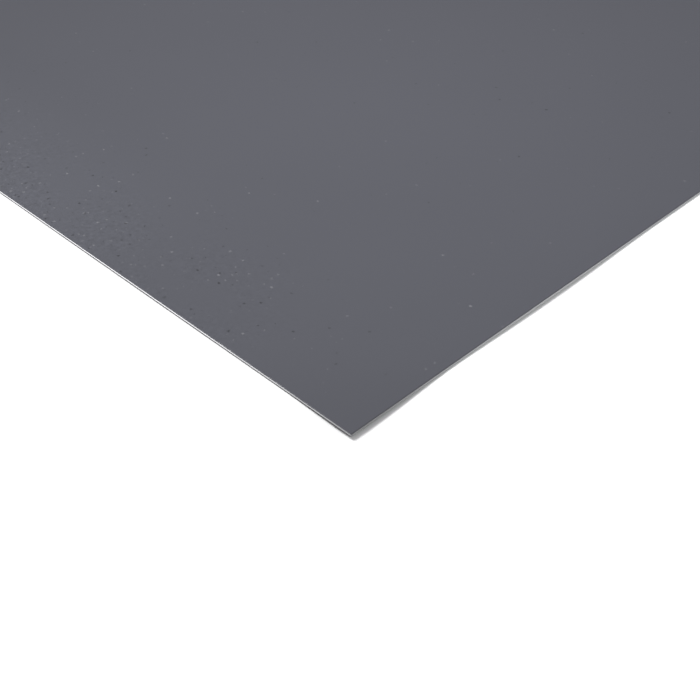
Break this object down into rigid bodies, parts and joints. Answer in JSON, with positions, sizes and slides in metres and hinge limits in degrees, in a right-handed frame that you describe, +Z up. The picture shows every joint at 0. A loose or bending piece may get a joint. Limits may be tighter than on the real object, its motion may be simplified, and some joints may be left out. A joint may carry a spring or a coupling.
{
  "type": "plastic sheet",
  "caption": "Flat rectangular sheet of rigid grey plastic, cut square, for cutting, drilling, bonding or lining.",
  "frame": {"origin": "centre of the underside, on the surface that the sheet lies on", "axes": "+X along the long side, +Y along the short side, +Z up through the thickness to the face shown in the picture"},
  "size_m": [1, 0.5, 0.0015],
  "materials": {
    "sheet_plastic": "satin"
  },
  "bodies": {
    "root": {"plastic_sheet": "sheet_plastic"}
  },
  "joints": []
}
